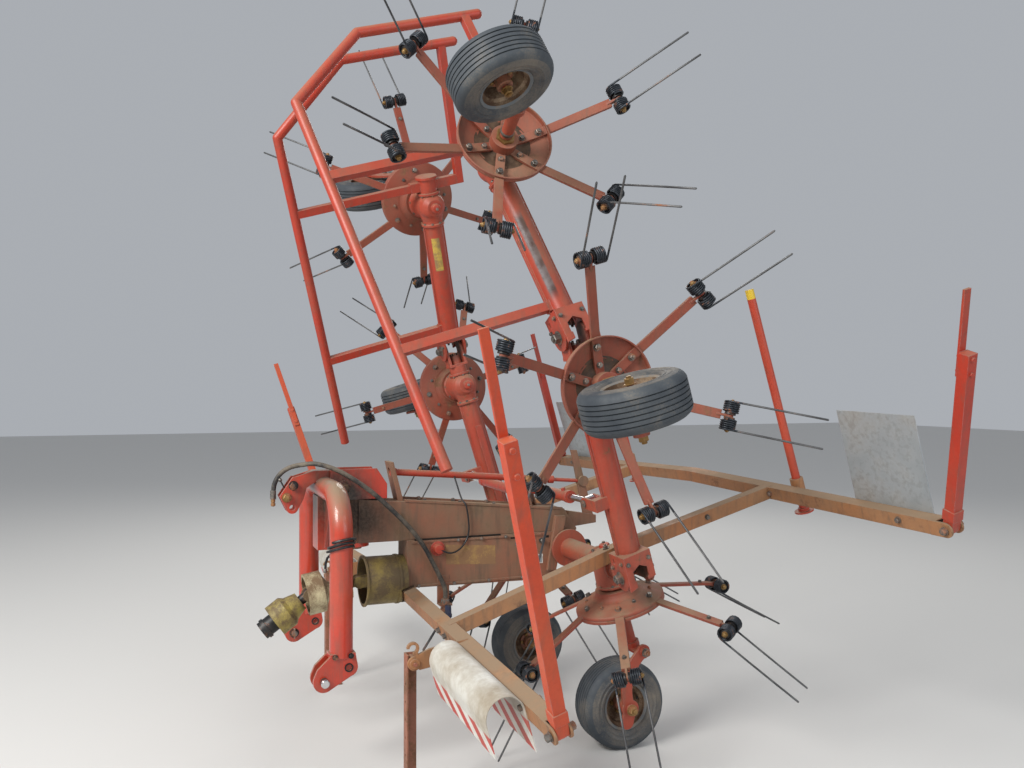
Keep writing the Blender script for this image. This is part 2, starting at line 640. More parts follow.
# %% [markdown]
# ## Warning sheets
# The boards on the bars are galvanised sheet. Their outer face carries slanted red and white bands, with
# no lettering, worn thin and muddy. The bands follow a sum of two directions in the sheet, and a mask
# from the face's own direction keeps them off the bare inner side.

# %% Signal sheets
def signal_sheet():
    """Galvanised sheet, white paint on the curled front sheets and bands on the flaps."""
    f = Finish("signal_sheet")
    cloud = f.noise(5.0, 6.0, 0.65)
    fine = f.noise(60.0, 4.0)
    zinc = f.mix(cloud.step(0.35, 0.7), (0.36, 0.40, 0.42), (0.52, 0.55, 0.56))
    zinc = f.mix(f.noise(40.0, 2.0).step(0.5, 0.62) * 0.35, zinc, (0.25, 0.28, 0.30))
    across = f.part(f.place, 0)
    side = across.math("ABSOLUTE", across)
    rearward = f.along(REAR)
    height = f.along(pitched[:3, 2])
    middle = float(np.dot(pitched[:3, 3], REAR))
    base = float(np.dot(pitched[:3, 3], pitched[:3, 2]))
    slant = (side + height).stripes(0.070)
    bands = f.mix(slant, (0.68, 0.67, 0.62), (0.50, 0.035, 0.025))
    white = f.mix(cloud.step(0.3, 0.7), (0.62, 0.62, 0.58), (0.45, 0.40, 0.31))
    is_front = (middle - rearward).step(0.0, 0.01)
    # The flap of a curled sheet lies below the bar's middle; a rear board is banded on its rear face
    low = (base + 0.230 - height - side * 0.0523).step(0.0, 0.004)
    facing_rear = f.part(f.facing, 1).step(0.5, 0.6)
    front_colour = f.mix(low, white, bands)
    rear_colour = f.mix(facing_rear, zinc, bands)
    colour = f.mix(is_front, rear_colour, front_colour)
    dirt = (cloud * 1.1 + fine * 0.3 + f.upward() * 0.1).step(0.62, 1.05) * 0.75
    colour = f.mix(dirt, colour, (0.24, 0.19, 0.135))
    f.set(Base_Color=colour, Roughness=(0.42 + dirt * 0.35).clip(), Metallic=(is_front * -0.5 + 0.5).clip(),
          Normal=f.bump(cloud + fine * 0.1, 0.004, 0.5))
    return f.material


sheet_finish = signal_sheet()
print("signal sheets ready")

# %% [markdown]
# ## The hydraulic hose
# A hose is a fixed length of something flexible. Its route is the one of the mechanical model: it leaves
# its gland under the housing, climbs past the beam, lies over the headstock and hangs down in front of it.
# A smooth curve through the route's points gives the centreline, and a ring carried along it the tube.

# %% Hose
HOSE_R = 0.011
hose_route = np.array([
    (0.115, -0.715, 0.655), (0.115, -0.716, 0.700), (0.118, -0.742, 0.760), (0.125, -0.780, 0.832),
    (0.132, -0.832, 0.923), (0.141, -0.904, 1.014), (0.150, -0.989, 1.100), (0.155, -1.081, 1.184),
    (0.150, -1.174, 1.252), (0.134, -1.258, 1.300), (0.104, -1.335, 1.323), (0.064, -1.390, 1.318),
    (0.028, -1.441, 1.304), (0.008, -1.483, 1.273), (0.000, -1.508, 1.226), (0.000, -1.514, 1.170),
]) + (0.0, MIDDLE_Y, 0.0)
hose_path = smooth_path(hose_route, 6)
hose_piece = Piece("hydraulic_hose")
hose_piece.tube(hose_path, HOSE_R, 14)
hose = hose_piece.finish("centre_frame", [hose_rubber], replaces=("hose",))

# Its hanging end: a crimped sleeve, a hexagon and the plug of a quick coupling under a dust cap
end = as_frame(hose_path[-1], (1, 0, 0), (0, -1, 0), (0, 0, -1))
fitting = Piece("hose_end_fitting")
fitting.lathe([(0.0120, -0.028), (0.0135, -0.026), (0.0135, -0.018), (0.0128, -0.016), (0.0135, -0.012),
               (0.0135, -0.004), (0.0125, 0.0)], 20, end, 0)
fitting.lathe([(0.0150, -0.001), (0.0150, 0.011), (0.0140, 0.013)], 6, end, 0)
fitting.lathe([(0.0100, 0.012), (0.0100, 0.026), (0.0085, 0.027), (0.0085, 0.032), (0.0110, 0.034),
               (0.0110, 0.042), (0.0070, 0.046)], 20, end, 1)
coupling = fitting.finish("centre_frame", [bolt_steel, rusty_brass])

# %% [markdown]
# ## Finishes on the mechanical model
# Each node of the mechanical model keeps its shape and gets its finish by name.

# %% Dress the nodes
NODE_FINISH = (
    ("main_beam", paint["beam"]),
    ("drive_housing", paint["housing"]),
    ("centre_tube", paint["centre"]),
    ("boom_inner_left", paint["inner_left"]),
    ("boom_inner_right", paint["inner_right"]),
    ("boom_outer_left", paint["outer_left"]),
    ("boom_outer_right", paint["outer_right"]),
    ("leg", paint["leg"]),
    ("headstock", paint["stock"]),
    ("guard_frame", paint["bar"]),
    ("rear_post", paint["hoop"]),
    ("front_post", paint["post"]),
    ("front_stand", paint["stand"]),
    ("guard_hoop", paint["hoop"]),
    ("parking_pole", paint["pole"]),
    ("fold_barrel", paint["hoop"]),
    ("fold_rod", chrome),
    ("rotor_disc", paint["rotor"]),
    ("rotor_tines", coil_steel),
    ("tyre", tread),
    ("rim", rim_cream),
    ("shaft_drum", drum_plastic),
    ("shaft_guard", bell_plastic),
    ("tail_guard", cone_plastic),
    ("shaft_yoke", dark_steel),
    ("hitch_pins", bolt_steel),
    ("beam_fittings", paint["hoop"]),
    ("hose", hose_rubber),
    ("signal_panels", sheet_finish),
)
for name, obj in nodes.items():
    finish = next(m for stem, m in NODE_FINISH if name.startswith(stem))
    obj.data.materials.clear()
    obj.data.materials.append(finish)
print("dressed", len(nodes))

# %% [markdown]
# ## Ribbed tyres
# A tedder's tyre is a small implement tyre: a rounded shoulder, and a tread of straight ribs with grooves
# between them. Turned about the axle it is one profile, so the ribs are drawn where they are: the crown's
# radius, less the groove's depth wherever the height falls into a groove.

# %% Tyres
TYRE_R, TYRE_HALF, SHOULDER = 0.203, 0.0825, 0.040
GROOVES = (-0.0465, -0.028, -0.0095, 0.0095, 0.028, 0.0465)
GROOVE_HALF, GROOVE_DEPTH = 0.0027, 0.0065


def crown(h):
    """Radius of the ungrooved tread at a height h: level in the middle, a quarter circle at the shoulder."""
    over = max(abs(h) - (TYRE_HALF - SHOULDER), 0.0)
    return TYRE_R - SHOULDER + math.sqrt(SHOULDER**2 - over**2)


def tyre_profile():
    """Closed section as (radius, height), and the slot of each step: 0 tread, 1 side wall."""
    side = [(0.1020, 0.0570), (0.1075, 0.0625), (0.1130, 0.0700), (0.1180, 0.0755), (0.1250, 0.0795),
            (0.1290, 0.0800), (0.1305, 0.0822), (0.1345, 0.0825), (0.1360, 0.0808), (0.1480, 0.0822),
            (0.1495, 0.0836), (0.1525, 0.0836), (0.1540, 0.0824)]
    shoulder = [(TYRE_R - SHOULDER + SHOULDER * math.cos(t), TYRE_HALF - SHOULDER + SHOULDER * math.sin(t))
                for t in np.radians([86, 66, 48, 32, 20])]
    tread_line = []
    for g in GROOVES:
        floor_r = crown(g) - GROOVE_DEPTH
        for h, r in ((g - GROOVE_HALF, crown(g)), (g - GROOVE_HALF * 0.55, floor_r),
                     (g + GROOVE_HALF * 0.55, floor_r), (g + GROOVE_HALF, crown(g))):
            tread_line.append((r, h))
        tread_line.append((crown(g + 0.009) - 0.0001, g + 0.009))
    tread_line.pop()
    low = [(r, -h) for r, h in side + shoulder]
    section = low + tread_line + [(r, -h) for r, h in reversed(low)] + [(0.1015, 0.030), (0.1015, -0.030)]
    slots = [1] * (len(side) + 1) + [0] * (len(shoulder) * 2 + len(tread_line) - 3)
    slots += [1] * (len(section) - len(slots))
    return section, slots


section, section_slots = tyre_profile()
for place in PLACES:
    for side in SIDES:
        tyre = Piece(f"ribbed_tyre_{place}_{side}")
        tyre.lathe(section, 96, axle_frame(place, side), section_slots, closed=True)
        tyre.finish(f"wheel_{place}_{side}", [tread, sidewall], replaces=(f"tyre_{place}_{side}",), sharp=50)
print("tyre section points", len(section))

# %% [markdown]
# ## Pressed rims
# The rim is a rolled channel with a curled lip on each side, and a dished disc bolted round the hub. The
# channel and the disc are closed profiles turned about the axle, then nuts and a valve are added.

# %% Rims
channel = [(0.1010, -0.052), (0.1012, -0.0600), (0.1050, -0.0640), (0.1105, -0.0660), (0.1115, -0.0685),
           (0.1095, -0.0705), (0.1050, -0.0690), (0.0985, -0.0645), (0.0960, -0.0500), (0.0850, -0.0400),
           (0.0820, -0.0220)]
channel_outer = [(0.0860, -0.0200), (0.0885, -0.0360), (0.0990, -0.0480)]
rim_inside = channel + [(r, -h) for r, h in reversed(channel)]
rim_loop = [(r, -h) for r, h in rim_inside] + list(reversed(channel_outer))
rim_loop += [(r, -h) for r, h in channel_outer]
dish = [(0.0350, -0.0050), (0.0450, -0.0045), (0.0560, 0.0010), (0.0680, 0.0090), (0.0840, 0.0115),
        (0.0840, 0.0160), (0.0670, 0.0135), (0.0550, 0.0055), (0.0440, 0.0000), (0.0350, 0.0000)]
hub = [(0.0140, -0.0550), (0.0300, -0.0550), (0.0330, -0.0520), (0.0330, -0.0180), (0.0480, -0.0150),
       (0.0480, -0.0060), (0.0345, -0.0040), (0.0345, 0.0300), (0.0310, 0.0340), (0.0310, 0.0520),
       (0.0290, 0.0550), (0.0140, 0.0550)]
lip_slots = []
for i in range(len(rim_loop)):
    middle = (abs(rim_loop[i][1]) + abs(rim_loop[(i + 1) % len(rim_loop)][1])) / 2
    lip_slots.append(1 if middle > 0.061 else 0)
for place in PLACES:
    for side in SIDES:
        f = axle_frame(place, side)
        rim = Piece(f"pressed_rim_{place}_{side}")
        rim.lathe(rim_loop, 64, f, lip_slots, closed=True)
        rim.lathe(dish, 64, f, 0, closed=True)
        rim.lathe(hub, 40, f, 2, closed=True)
        for k in range(5):
            a = math.radians(72 * k + 20)
            spot = (0.0415 * math.cos(a), 0.0415 * math.sin(a))
            rim.bolt(f, (*spot, -0.0010), (0, 0, 1), 0.017, 3, stub=0.006)
            rim.bolt(f, (*spot, -0.0150), (0, 0, -1), 0.017, 3, washer=0)
        rim.tube([(0.090, 0.0, 0.026), (0.080, 0.0, 0.034), (0.072, 0.0, 0.047)], 0.0042, 8, f, 4)
        rim.finish(f"wheel_{place}_{side}", [rim_cream, rim_lip, paint["stand"], rusty_brass, thin_rubber],
                   replaces=(f"rim_{place}_{side}",))
print("rim section points", len(rim_loop))

# %% [markdown]
# ## Spring tines
# Each arm carries a double tine: one wire wound five turns on either side of a clamp, and each end led
# off as a straight prong. The coil is a helix, (m cos a, pitch a, m sin a), whose angle stops where its
# direction is the prong's, so the prong simply carries the helix on. Work has bent them all a little, so
# a fixed sequence turns each prong by a degree or so.

# %% Tines
COIL_REACH, COIL_R, WIRE_R, TURNS = 0.530, 0.0305, 0.0045, 5
PRONG_LEN, PRONG_ANGLE = 0.392, math.radians(45)
PLATE_SLOPE = math.tan(math.radians(20))
PLATE_DROP = 0.006 / math.cos(math.radians(20))
COIL_N = (0.210 - COIL_REACH) * PLATE_SLOPE - PLATE_DROP - 0.015
COIL_START, CLAMP_T = 0.0053, 0.006
ARM_PHASE = {("centre", "left"): 30, ("centre", "right"): 0, ("inner", "left"): 0,
             ("inner", "right"): 30, ("outer", "left"): 30, ("outer", "right"): 0}


def tine_path(way, bend):
    """Helix outward along u from the clamp, then the prong; way is 1 or -1, bend a small angle."""
    last = math.radians(225)
    a = np.linspace(last - 2 * math.pi * TURNS, last, TURNS * 14 + 1)
    u = COIL_START + CLAMP_T + WIRE_R + (a - a[0]) / (2 * math.pi) * 2 * WIRE_R * 0.97
    coil = np.stack([COIL_R * np.cos(a), way * u, COIL_R * np.sin(a)], -1)
    reach = np.array([0.012, 0.05, 0.14, 0.26, PRONG_LEN - 0.004, PRONG_LEN])
    droop = reach * bend + 0.05 * reach**2
    sway = 0.16 * bend * reach
    line = np.array([math.cos(PRONG_ANGLE), 0, -math.sin(PRONG_ANGLE)])
    across = np.array([math.sin(PRONG_ANGLE), 0, math.cos(PRONG_ANGLE)])
    prong = coil[-1] + reach[:, None] * line + droop[:, None] * across * 0.6
    prong[:, 1] += way * sway
    return np.vstack([coil, prong]), len(coil)


bends = np.random.default_rng(11)
for place in PLACES:
    for side in SIDES:
        base = rotor_frame(place, side)
        tines = Piece(f"spring_tines_{place}_{side}")
        for k in range(6):
            arm = moved(turned(base, ARM_PHASE[place, side] + 60 * k), x=COIL_REACH, n=COIL_N)
            for way in (1, -1):
                path, wound = tine_path(way, bends.uniform(-0.022, 0.022))
                radius = np.full(len(path), WIRE_R)
                radius[-1] = WIRE_R * 0.45
                slots = [0] * (wound + 1) + [1] * (len(path) - wound - 2)
                tines.tube(path, radius, 7, arm, slots)
                clamp = arm @ facing((0, way * COIL_START, 0), (0, way, 0))
                tines.lathe([(0.0240, 0.0), (0.0240, CLAMP_T), (0.0225, CLAMP_T + 0.004),
                             (0.0225, CLAMP_T + 0.040), (0.0210, CLAMP_T + 0.042)], 14, clamp, 2)
                head = (0, way * (COIL_START + CLAMP_T + 0.041), 0)
                tines.bolt(arm, head, (0, way, 0), 0.019, 3, stub=0.004)
        tines.finish(f"rotor_{place}_{side}", [coil_steel, prong_steel, dark_steel, rusty_brass],
                     replaces=(f"rotor_tines_{place}_{side}",), sharp=60)
print("tine path points", len(path))

# %% [markdown]
# ## Bolts and grease under the rotors
# Every arm is held by a bolt near the hub and one at the rim, with nuts on the plate's upper face. The
# hollow of the plate has filled with a cake of grease and hay dust, and a large nut closes the hub.

# %% Rotor fittings
def arm_low(r):
    """Height of an arm's underside inside the rim, where it slopes less steeply."""
    bend = 0.180
    return (0.210 - bend) * PLATE_SLOPE - PLATE_DROP - 0.013 + (bend - r) * math.tan(math.radians(12))


def plate_under(r):
    """Height of the plate's underside at the radius r: a cone that sinks by 20 degrees outwards."""
    return (0.210 - r) * PLATE_SLOPE - PLATE_DROP


for place in PLACES:
    for side in SIDES:
        base = rotor_frame(place, side)
        trim = Piece(f"rotor_bolts_{place}_{side}")
        lower = [(0.0600, 0.0230), (0.0740, 0.0160), (0.0900, 0.0080), (0.1080, 0.0042),
                 (0.1240, 0.0024), (0.1290, 0.0012)]
        cake = [(r, plate_under(r) - depth) for r, depth in lower]
        cake += [(r, plate_under(r) - 0.0004) for r, depth in reversed(lower)]
        ring = ring_angles(48)
        wave = 0.0016 * np.sin(5 * ring) + 0.0011 * np.sin(11 * ring + 1.3)
        uneven = [1.9, 1.6, 1.3, 1.0, 0.6, 0.2] + [0.0] * 6
        points = np.array([[(r * math.cos(a), r * math.sin(a), h - k * abs(w))
                            for k, (r, h) in zip(uneven, cake)] for a, w in zip(ring, wave)])
        trim.add(points, grid_faces(48, len(cake), True, True).tolist(), base, 2)
        for k in range(6):
            arm = turned(base, ARM_PHASE[place, side] + 60 * k)
            trim.bolt(arm, (0.092, 0, arm_low(0.092)), (0, 0, -1), 0.019, 0)
            trim.bolt(arm, (0.168, 0.0, arm_low(0.168)), (0.0, 0, -1), 0.024, 0, stub=0.006)
            trim.bolt(arm, (0.168, 0.0, (0.210 - 0.168) * PLATE_SLOPE), (0.34, 0, 1), 0.021, 0)
            trim.bolt(turned(arm, 30), (0.150, 0.0, (0.210 - 0.150) * PLATE_SLOPE), (0.34, 0, 1), 0.013, 0)
            tip = (0.440, 0, plate_under(0.440) + 0.001)
            trim.bolt(arm, tip, (0.34, 0, 1), 0.014, 0)
        flat = ring_angles(24)
        hex_r = 0.042 / np.cos((flat + math.pi / 6) % (math.pi / 3) - math.pi / 6) * 0.92
        nut = np.array([[(r * math.cos(a), r * math.sin(a), h)
                         for r, h in ((0.0285, -0.0440), (q * 0.96, -0.0440), (q, -0.0415),
                                      (q, -0.0305), (0.0285, -0.0305))] for a, q in zip(flat, hex_r)])
        trim.add(nut, grid_faces(24, 5, True, True).tolist(), base, 1)
        trim.finish(f"rotor_{place}_{side}", [bolt_steel, rusty_brass, grease_cake])
print("rotor fittings made")

# %% [markdown]
# ## Bolts, labels and small fittings on the booms
# The gear cases are bolted to the booms through flanges, the hinges turn on pins with nuts, and a blank
# yellow label is glued on one outer boom. All of it is placed in the rotor's own frame, so one set of
# numbers dresses every case.

# %% Boom fittings
BOOM_N = 0.180
CASE_LOW = 0.0714
INNER_HINGE_X = -0.870
BOOM_BODY = {("centre", side): "centre_frame" for side in SIDES}
for side in SIDES:
    for place in ("inner", "outer"):
        BOOM_BODY[place, side] = f"{place}_wing_{side}"


def case_bolts(piece, base):
    """Bolts round a gear case: eight on its flange and six on each neck, and the breather on top."""
    for k in range(8):
        a = math.radians(45 * k + 12)
        piece.bolt(base, (0.0815 * math.cos(a), 0.0815 * math.sin(a), CASE_LOW + 0.0195), (0, 0, 1), 0.011, 0)
    for k in range(8):
        a = math.radians(45 * k + 22.5)
        spot = (-0.0960, 0.0575 * math.cos(a), BOOM_N + 0.0575 * math.sin(a))
        piece.bolt(base, spot, (1, 0, 0), 0.012, 0)
    for k in range(6):
        a = math.radians(60 * k + 30)
        spot = (0.0670, 0.0572 * math.cos(a), BOOM_N + 0.0572 * math.sin(a))
        piece.bolt(base, spot, (-1, 0, 0), 0.010, 0)
    top = moved(base, n=BOOM_N + 0.088)
    piece.lathe([(0.0265, -0.004), (0.0265, 0.002), (0.0225, 0.009), (0.0120, 0.013)], 24, top, 1)
    piece.bolt(base, (0, 0, BOOM_N + 0.100), (0, 0, 1), 0.014, 0, washer=0)


def pin_ends(piece, base, x):
    """Washers and nuts on both ends of a hinge pin that lies across the boom, and the bracket's bolts."""
    for way in (1, -1):
        piece.bolt(base, (x, way * 0.0685, BOOM_N), (0, way, 0), 0.040, 0, washer=1.3, stub=0.006)
        piece.bolt(base, (x + 0.074, way * 0.0682, BOOM_N - 0.042), (0, way, 0), 0.014, 0)
        piece.bolt(base, (x + 0.040, way * 0.0682, BOOM_N + 0.046), (0, way, 0), 0.014, 0)


for (place, side), body in BOOM_BODY.items():
    base = rotor_frame(place, side)
    trim = Piece(f"boom_bolts_{place}_{side}")
    case_bolts(trim, base)
    if place != "centre":
        pin_ends(trim, base, INNER_HINGE_X)
        # Bolts on the hood over the hinge
        for u in (-0.052, 0.052):
            trim.bolt(base, (INNER_HINGE_X + 0.070, u, BOOM_N - 0.0700), (0, 0, -1), 0.014, 0)
    if place == "outer" and side == "right":
        # Blank yellow label, bent round the boom on the side that the yard sees
        a = np.radians(np.linspace(84, 136, 8))
        around = [(0.0511, t) for t in a] + [(0.0497, t) for t in a[::-1]]
        patch = np.array([[(x, r * math.cos(t), BOOM_N + r * math.sin(t)) for r, t in around]
                          for x in (-0.365, -0.175)])
        faces = grid_faces(2, 16, False, True).tolist()
        faces += [[15 - i, 14 - i, i + 1, i] for i in range(7)]
        faces += [[16 + i, 17 + i, 30 - i, 31 - i] for i in range(7)]
        trim.add(patch, faces, base, 2)
    trim.finish(body, [bolt_steel, paint["hoop"], label_yellow])
print("boom fittings", len(BOOM_BODY))

# %% Ends of the rod-eye pins
# The fold cylinder's rod meets the inner wing in a fork. Each side of the fork gets the end of a pin.
ROD_EYE_U = {"left": -0.078, "right": -0.142}
FORK_HALF = 0.019 + 0.003 + 0.008
for side in SIDES:
    eye = moved(rotor_frame("inner", side), x=INNER_HINGE_X + 0.350, u=ROD_EYE_U[side], n=BOOM_N + 0.090)
    ends = Piece(f"rod_eye_pin_{side}")
    for way in (1, -1):
        spot = facing(eye[:3, 3] + way * FORK_HALF * REAR, way * REAR)
        ends.lathe([(0.0120, -0.0075), (0.0120, 0.000), (0.0170, 0.0006), (0.0170, 0.0060),
                    (0.0150, 0.0072)], 24, spot, 0)
    ends.finish(f"inner_wing_{side}", [bolt_steel])
print("rod eye pins made")

# %% [markdown]
# ## Crank and axle ends on the wheel legs
# Each wheel hangs on a cranked arm. The crank's pivot and the axle are closed by nuts, and the leg's
# collar has a clamping bolt.

# %% Wheel leg fittings
CRANK_SIDE = {"centre": 1, "inner": -1, "outer": 1}
WHEEL_DROP = 0.684 - 0.203
WHEEL_U = -WHEEL_DROP * math.sin(math.radians(17))
WHEEL_N = -WHEEL_DROP * math.cos(math.radians(17))
LEG_LOW = WHEEL_N + 0.203 + 0.022
CRANK_OUT = 0.165 / 2 + 0.016 + 0.014
for (place, side), body in BOOM_BODY.items():
    base = rotor_frame(place, side)
    way = CRANK_SIDE[place]
    trim = Piece(f"leg_bolts_{place}_{side}")
    trim.bolt(base, (way * (CRANK_OUT + 0.0155), 0, LEG_LOW), (way, 0, 0), 0.028, 0, stub=0.008)
    trim.bolt(base, (way * (CRANK_OUT + 0.0115), WHEEL_U, WHEEL_N), (way, 0, 0), 0.036, 1, stub=0.010)
    trim.bolt(base, (-way * (0.055 + 0.0122), WHEEL_U, WHEEL_N), (-way, 0, 0), 0.034, 1, stub=0.007)
    trim.bolt(base, (0.0, -0.0385, LEG_LOW + 0.011), (0, -1, 0), 0.016, 0)
    trim.bolt(base, (way * (CRANK_OUT - 0.0002), WHEEL_U * 0.45, LEG_LOW + 0.45 * (WHEEL_N - LEG_LOW) + 0.02),
              (way, 0, 0), 0.014, 0)
    collar = [(0.0285, 0.0), (0.0310, 0.004), (0.0310, 0.014), (0.0285, 0.018)]
    trim.lathe(collar, 32, moved(base, n=-0.075), 0)
    trim.finish(body, [bolt_steel, rusty_brass])
print("leg fittings made")

# %% [markdown]
# ## Headstock, hitch and tied hose
# The headstock is where people work on the machine, so it is the richest in small parts: the two bolts of
# the top link plates, washers and linch pins at the lower hitch pins, a ring of small bolts on the
# swivel's boss, and a thin spare hose tied in three turns round the near leg.

# %% Headstock fittings
STOCK_Y, HITCH_Y, HITCH_Z = -1.280, -1.360, 0.430
HITCH_X = 0.4125
TOP_Y, TOP_Z = -1.432, 1.118
trim = Piece("headstock_bolts")
for way in (1, -1):
    for (y, z), slot in (((0.005, 0.102), 0), ((-0.025, 0.048), 1)):
        spot = (way * 0.0382, TOP_Y + y, TOP_Z + z)
        trim.bolt(MACHINE, spot, (way, 0, 0), 0.034, slot, washer=1.15, stub=0.004)
    trim.bolt(MACHINE, (way * 0.0920, -1.197, 1.207), (way, 0, 0), 0.030, 3, washer=1.1)
    for k in range(6):
        a = math.radians(60 * k + 15)
        spot = (way * 0.0840, -1.197 + 0.026 * math.cos(a), 1.207 + 0.026 * math.sin(a))
        trim.bolt(MACHINE, spot, (way, 0, 0), 0.008, 3, washer=0)
    # Clamp plates on the legs: a bolt fore and aft, and the spare holes' bushes
    for dy in (-0.034, 0.034):
        trim.bolt(MACHINE, (way * (HITCH_X + 0.0435), STOCK_Y + dy, HITCH_Z + 0.099), (way, 0, 0), 0.017, 0)
    for edge in (0.0435, -0.0435):
        hole = (way * (HITCH_X + edge), HITCH_Y + 0.105, HITCH_Z + 0.050)
        bush = MACHINE @ facing(hole, (np.sign(edge) * way, 0, 0))
        rim_ring = [(0.0130, 0.0), (0.0190, 0.0), (0.0190, 0.0025), (0.0130, 0.0025)]
        trim.lathe(rim_ring, 24, bush, 0, closed=True)
trim.finish("headstock", [dark_steel, rusty_brass, bolt_steel, grease_cake])

pins = Piece("linch_pins")
for way in (1, -1):
    head = (way * (HITCH_X - 0.0575), HITCH_Y, HITCH_Z)
    f = MACHINE @ facing(head, (0, 0, 1))
    pins.lathe([(0.0036, -0.026), (0.0038, -0.022), (0.0038, 0.018), (0.0062, 0.020), (0.0062, 0.026),
                (0.0040, 0.029)], 12, f, 0)
    t = np.linspace(0, 2 * math.pi, 25)[:-1]
    loop = np.stack([0.0 * t, 0.0195 * np.cos(t), 0.0195 * np.sin(t)], -1) + (0, 0, 0.004)
    ring = sweep(np.vstack([loop, loop[:1]]), 0.0016, 6)[:-1]
    pins.add(ring, grid_faces(24, 6, True, True).tolist(), f, 0)
    outer_face = MACHINE @ facing((way * (HITCH_X + 0.0645), HITCH_Y, HITCH_Z), (way, 0, 0))
    pins.lathe([(0.0185, -0.0010), (0.0185, 0.0080), (0.0150, 0.0125), (0.0060, 0.0135)], 24, outer_face, 2)
    # Washer against the inner hitch plate
    face = MACHINE @ facing((way * (HITCH_X - 0.0432), HITCH_Y, HITCH_Z), (-way, 0, 0))
    pins.lathe([(0.0145, 0.0), (0.0235, 0.0), (0.0235, 0.0030), (0.0145, 0.0030)], 28, face, 1, closed=True)
pins.finish("headstock", [bolt_steel, dark_steel, chrome])

# Knob of the control cord behind the top link plates: a small ball on a thin stem
knob = Piece("control_knob")
t = np.linspace(-80, 80, 9)
ball = [(0.0098 * math.cos(math.radians(v)), 0.0098 * math.sin(math.radians(v))) for v in t]
stem = MACHINE @ facing((0.010, TOP_Y - 0.052, TOP_Z + 0.128), (0, -0.45, 0.9))
knob.lathe(ball, 16, stem, 0)
knob.lathe([(0.0035, -0.075), (0.0035, -0.008)], 8, stem, 1)
knob.finish("headstock", [bolt_steel, dark_steel])

# Thin hose tied round the near leg: three turns, each a little lower, and its loose end
turns = np.linspace(-0.15, 2.62, 90) * 2 * math.pi
lap = turns / (2 * math.pi)
wrap = np.stack([
    HITCH_X + (0.0565 + 0.004 * np.sin(lap * 5)) * np.cos(turns),
    STOCK_Y + (0.0565 + 0.004 * np.sin(lap * 5)) * np.sin(turns),
    1.010 - 0.016 * lap + 0.020 * np.cos(turns - 0.6),
], -1)
tip = wrap[-1] + np.array([(0.0, -0.012, -0.012), (0.004, -0.020, -0.034), (0.010, -0.022, -0.060)])
tied = Piece("tied_hose")
tied.tube(np.vstack([wrap, tip]), 0.0058, 8, MACHINE, 0)
tied.lathe([(0.0075, 0.0), (0.0085, 0.002), (0.0085, 0.014), (0.0060, 0.016)], 14,
           MACHINE @ facing(tip[-1] + (0, 0, 0.004), (0.1, -0.05, -1)), 1)
tied.finish("headstock", [thin_rubber, bolt_steel])
print("headstock fittings made")

# %% [markdown]
# ## Beam and housing
# The side of the beam carries a seam, a red cap over the clutch shaft, a faded yellow label with nothing
# on it, a small framed plate, inspection slots and a slanted gusset where the gear case begins.

# %% Beam fittings
SIDE_X = 0.085
trim = Piece("beam_trim")
for way in (1, -1):
    cap = MACHINE @ facing((way * SIDE_X, -0.745, 0.893), (way, 0, 0))
    trim.lathe([(0.036, -0.002), (0.036, 0.006), (0.026, 0.008), (0.024, 0.030), (0.021, 0.035),
                (0.008, 0.037)], 32, cap, 0)
    f = MACHINE if way == 1 else as_frame((0, MIDDLE_Y, 0), (-1, 0, 0), (0, 1, 0), (0, 0, 1))
    sloped = np.array([(SIDE_X + 0.0006, -0.705, 0.908), (SIDE_X + 0.0006, -0.445, 0.890),
                       (SIDE_X + 0.0006, -0.442, 0.796), (SIDE_X + 0.0006, -0.700, 0.812)])
    thick = np.vstack([sloped, sloped - (0.002, 0, 0)])
    trim.add(thick, [[0, 3, 2, 1], [0, 1, 5, 4], [1, 2, 6, 5], [2, 3, 7, 6], [3, 0, 4, 7]], f, 1)
    trim.block((SIDE_X - 0.001, -0.270, 0.782), (SIDE_X + 0.0012, -0.184, 0.829), f, 2)
    trim.block((SIDE_X - 0.001, -0.265, 0.787), (SIDE_X + 0.0020, -0.189, 0.824), f, 3)
    trim.bolt(f, (SIDE_X, -0.190, 0.897), (1, 0, 0), 0.022, 4, stub=0.003)
    for y, z in ((-0.346, 0.921), (-0.165, 0.916)):
        trim.block((SIDE_X - 0.004, y - 0.016, z - 0.006), (SIDE_X + 0.0008, y + 0.016, z + 0.006),
                   f, 5, 0.004)
    # Black gap line along the seam, with the housing's bolts below it
    trim.block((SIDE_X - 0.004, -0.860, 0.9370), (SIDE_X + 0.0015, -0.415, 0.9445), f, 5)
    for y in (-0.840, -0.640, -0.520, -0.390):
        trim.bolt(f, (SIDE_X + 0.005, y, 0.929), (1, 0, 0), 0.012, 4)
    for y in (-0.840, -0.660, -0.480, -0.300):
        trim.bolt(f, (SIDE_X + 0.005, y, 0.719), (1, 0, 0), 0.012, 4)
    # Slanted gusset
    gusset = np.array([(-0.118, 1.020), (-0.062, 1.020), (-0.118, 0.745), (-0.166, 0.745)])
    points = np.vstack([np.column_stack([np.full(4, x), gusset]) for x in (SIDE_X - 0.012, SIDE_X + 0.020)])
    faces = [[4, 7, 6, 5], [0, 1, 2, 3], [0, 4, 5, 1], [1, 5, 6, 2], [2, 6, 7, 3], [3, 7, 4, 0]]
    trim.add(points, faces, f, 6)
    # Cap bolts along the top edge of the beam
    for k, y in enumerate((-0.80, -0.62, -0.44, -0.26)):
        top = 1.052 + (1.145 - 1.052) * (-0.060 - y) / 1.0
        trim.bolt(f, (0.055, y, top), (0, -0.09, 1), 0.016, 4)
trim.finish("centre_frame", [paint["hoop"], label_faded, label_pale, label_grey, bolt_steel, soot,
                             paint["housing"]])

